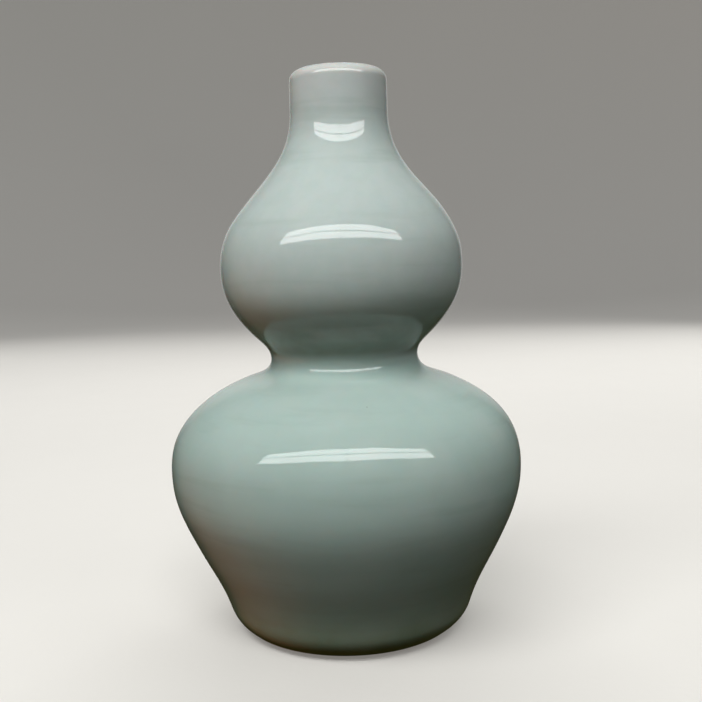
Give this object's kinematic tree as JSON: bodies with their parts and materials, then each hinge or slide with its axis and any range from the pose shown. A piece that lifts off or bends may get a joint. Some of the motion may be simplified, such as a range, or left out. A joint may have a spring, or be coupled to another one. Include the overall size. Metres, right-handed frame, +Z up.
{
  "type": "double-gourd porcelain vase",
  "caption": "Double-gourd porcelain vase with a short straight neck, thick rounded lip and low foot ring, in pale celadon glaze; it stands freely and holds water or stems.",
  "frame": {"origin": "centre of the circle the foot ring stands on, at the resting plane", "axes": "+Z up along the vase's turning axis, from the foot to the mouth; the form is round, so X and Y are free"},
  "size_m": [0.1902, 0.1902, 0.3],
  "materials": {
    "celadon_glaze": "glossy pale blue-green celadon glaze, a little greener where it pools",
    "lip_glaze": "glossy, thin and nearly white where the glaze runs off the lip",
    "clear_glaze": "glossy thin clear glaze, faintly green",
    "porcelain_body": "matt fired white porcelain",
    "foot_biscuit": "matt bare porcelain, warmed by the kiln at the edge of the glaze",
    "luting_slip": "matt fired slip"
  },
  "bodies": {
    "root": {"foot_ring": "foot_biscuit", "foot_slip_joint": "luting_slip", "lower_bowl": "porcelain_body", "lower_belly_slip_joint": "luting_slip", "lower_shoulder": "porcelain_body", "waist_slip_joint": "luting_slip", "upper_bowl": "porcelain_body", "upper_belly_slip_joint": "luting_slip", "upper_shoulder": "porcelain_body", "neck_slip_joint": "luting_slip", "neck_tube": "porcelain_body", "outer_glaze": "celadon_glaze", "lip_glaze": "lip_glaze", "inner_glaze": "clear_glaze", "base_glaze": "clear_glaze"}
  },
  "joints": []
}
